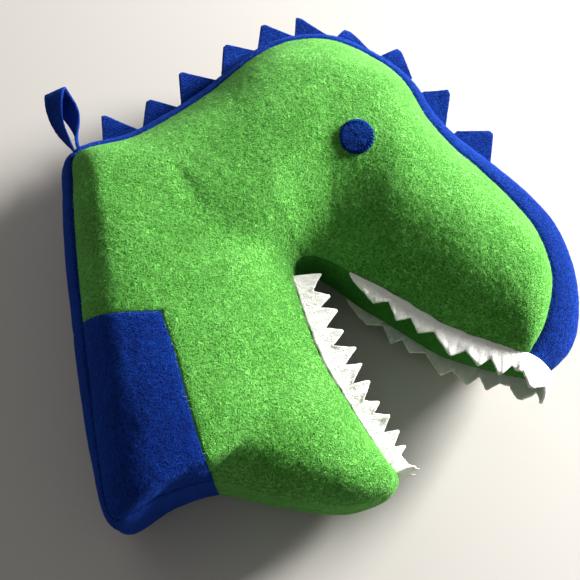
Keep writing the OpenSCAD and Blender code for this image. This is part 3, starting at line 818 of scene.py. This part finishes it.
def eye(surface, middle, out, across, up):
    """A low dome over a disc laid on the panel: rings of points found on the panel round the
    eye's middle, lifted by the felt's thickness, which falls off at the rim."""
    ring = np.concatenate([[0.001], np.linspace(0.1, 0.86, 9), [0.92, 0.96, 0.985, 1.0, 1.0]])
    lift = np.interp(ring, [0, 0.86, 0.94, 1], [1.5, 1.4, 1.15, 0.55])
    lift[-1] = -0.6
    angle = np.linspace(0, 2 * np.pi, 97)[:-1]
    radius = eye_radius * ring[:, None] * (1 + 0.006 * np.sin(5 * angle + 1) + 0.005 * np.sin(9 * angle))
    tall = 1.08
    flat = (middle + across * (radius * np.cos(angle))[..., None]
            + up * (tall * radius * np.sin(angle))[..., None])
    sag = height_over(surface, flat, middle, out)
    random = np.random.default_rng(31)
    rough = blur(random.normal(size=radius.shape), 1)
    points = flat + out * (sag + lift[:, None] + 0.04 * rough / rough.std())[..., None]
    points = points.reshape(-1, 3)
    under = middle + out * (sag[-1].mean() - 0.6)
    points = np.concatenate([points, points[:len(angle)].mean(0)[None], under[None]])
    quads = grid_quads(len(ring), len(angle), True)
    return points * MM, quads[:, ::-1], end_caps(len(ring), len(angle))[:, ::-1]


def height_over(surface, flat, middle, out):
    """How far the panel stands off the plane through the eye's middle, below each point: the
    mean of the panel's six nearest grid points, weighted by how near they are."""
    close = surface.reshape(-1, 3) - middle
    close = close[np.linalg.norm(close, axis=1) < near]
    level = close @ out
    shadow = close - np.outer(level, out)
    p = flat.reshape(-1, 3) - middle
    d = np.linalg.norm(p[:, None] - shadow[None], axis=-1)
    order = np.argsort(d, axis=1)[:, :6]
    weight = 1 / (np.take_along_axis(d, order, 1) + 0.1)
    return ((level[order] * weight).sum(1) / weight.sum(1)).reshape(flat.shape[:2])


def stitches(name, surface, middle, out, across, up, count=30):
    """Whip stitches: short bent threads from just outside the rim up over it."""
    random = np.random.default_rng(32)
    pieces, faces = [], []
    sides, steps, thread, slant = 6, 7, 0.22, 0.05
    t = np.linspace(0, 1, steps)
    for k in range(count):
        a = 2 * np.pi * (k + random.uniform(-0.15, 0.15)) / count
        radius = eye_radius + 0.9 - t * 2.4
        turn = a + slant * t
        flat = middle + across * (radius * np.cos(turn))[:, None] + up * (radius * np.sin(turn))[:, None]
        base = height_over(surface, flat[None], middle, out)[0]
        lift = np.interp(t, [0, 0.25, 0.45, 0.8, 1], [-0.3, 0.35, 1.25, 1.55, 1.2])
        line = flat + out * (base + lift)[:, None]
        ahead = unit(np.gradient(line, axis=0))
        one = unit(np.cross(ahead, out))
        two = np.cross(one, ahead)
        angle = np.linspace(0, 2 * np.pi, sides + 1)[:-1]
        ring = line[:, None] + thread * (
            one[:, None] * np.cos(angle)[:, None] + two[:, None] * np.sin(angle)[:, None])
        faces.append(grid_quads(steps, sides, True) + k * steps * sides)
        pieces.append(ring.reshape(-1, 3))
    return make_mesh(name, np.concatenate(pieces) * MM, np.concatenate(faces))


for name, column in (("right", eye_column), ("left", starts[3] * FINE - eye_column)):
    surface = skin[eye_rows, column - near_columns:column + near_columns]
    place = eye_frame(column)
    points, quads, caps = eye(surface, *place)
    disc = make_mesh(f"{name}_eye_felt", points, quads, caps)
    finish_felt(disc, eye_felt, "head", f"{name}_eye")
    finish_felt(stitches(f"{name}_eye_stitches", surface, *place), blue, "head", None)

# ---------------------------------------------------------------- hanging loop
# A strap of blue felt folded double, both ends in the corner seam. It turns a quarter turn
# from its root to its fold.
loop_root = np.array([-112.5, 79.5])
loop_angle = math.radians(111)
loop_reach = 33
strap_width, strap_thickness = 12, 1.3
loop_outline = np.array([
    [-0.22, 1.2], [0, 1.6], [0.12, 2.6], [0.3, 4.2], [0.5, 5.2], [0.68, 5.3], [0.82, 4.6],
    [0.93, 3], [0.985, 1.4], [1, 0]])
loop_twist = math.radians(80)


def strap_loop():
    """A ribbon along the outline of a narrow leaf and back, whose width turns about the loop's
    axis in step with the distance from the root."""
    whole = np.concatenate([loop_outline, (loop_outline * [1, -1])[-2::-1]])
    path = smooth(whole, np.linspace(0, len(whole) - 1, 181))
    axis = np.array([math.cos(loop_angle), math.sin(loop_angle), 0])
    beside = np.array([math.sin(loop_angle), -math.cos(loop_angle), 0])
    up = np.array([0, 0, 1.0])
    turn = loop_twist * np.clip(path[:, 0], 0, 1)[:, None]
    apart = beside * np.cos(turn) - up * np.sin(turn)
    wide = beside * np.sin(turn) + up * np.cos(turn)
    run = unit(np.gradient(path * [loop_reach, 1], axis=0))
    line = axis * (path[:, :1] * loop_reach) + apart * path[:, 1:]
    thick = apart * run[:, :1] - axis * run[:, 1:]
    w = np.linspace(-0.5, 0.5, 17) * strap_width
    random = np.random.default_rng(51)
    rough = blur(random.normal(size=(len(path), len(w))), 1)
    edge = 1 - 0.5 * (np.abs(w) > strap_width / 2 - 0.3)
    half = strap_thickness / 2 * edge[None] + 0.05 * rough / rough.std()
    centre = line[:, None] + wide[:, None] * w[None, :, None]
    front = centre + thick[:, None] * half[..., None]
    rear = centre - thick[:, None] * half[..., None]
    root = np.array([*loop_root, middle_z])
    return flat_felt("hanging_strap", front + root, rear + root)


strap = finish_felt(strap_loop(), blue, "loop", "hanging_loop")

# The pattern is drawn about its own origin: the finished pieces are moved in their meshes to
# the part's origin, so their objects stay at the origin.
shift = Matrix.Translation((*(pattern_shift * MM), 0))
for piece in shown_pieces():
    if "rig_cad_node" not in piece:
        piece.data.transform(shift)

# ---------------------------------------------------------------- studio
# A plain pale floor. Low, soft light comes from a window past the nose, so that it rakes over
# the felt, and the room gives back a little.
floor_mesh = bpy.data.meshes.new("floor")
far = 3
floor_mesh.from_pydata([(-far, -far, 0), (far, -far, 0), (far, far, 0), (-far, far, 0)], [], [(0, 1, 2, 3)])
floor = bpy.data.objects.new("floor", floor_mesh)
floor.location.z = -0.0002
bpy.context.collection.objects.link(floor)
paper = bpy.data.materials.new("pale_floor")
paper.use_nodes = True
paper_shader = paper.node_tree.nodes["Principled BSDF"]
paper_shader.inputs["Base Color"].default_value = (0.52, 0.50, 0.47, 1)
paper_shader.inputs["Roughness"].default_value = 0.9
floor.data.materials.append(paper)


def soft_light(name, place, size, power, colour):
    """A round lamp turned towards the head."""
    lamp = bpy.data.lights.new(name, "AREA")
    lamp.shape, lamp.size, lamp.energy, lamp.color = "DISK", size, power, colour
    light = bpy.data.objects.new(name, lamp)
    light.location = place
    light.rotation_mode = "QUATERNION"
    light.rotation_quaternion = (Vector(place) - Vector((0, 0, 0.03))).to_track_quat("Z", "Y")
    bpy.context.collection.objects.link(light)


soft_light("window", (1.05, 0.58, 0.39), 0.40, 74, (1.0, 0.99, 0.97))
soft_light("room", (-0.5, 0.6, 1.2), 1.0, 1.5, (1.0, 0.98, 0.95))
world = bpy.data.worlds.new("world")
world.use_nodes = True
background = world.node_tree.nodes["Background"]
background.inputs["Color"].default_value = (1.0, 0.99, 0.97, 1)
background.inputs["Strength"].default_value = 0.21
bpy.context.scene.world = world
bpy.context.scene.view_settings.view_transform = "Standard"
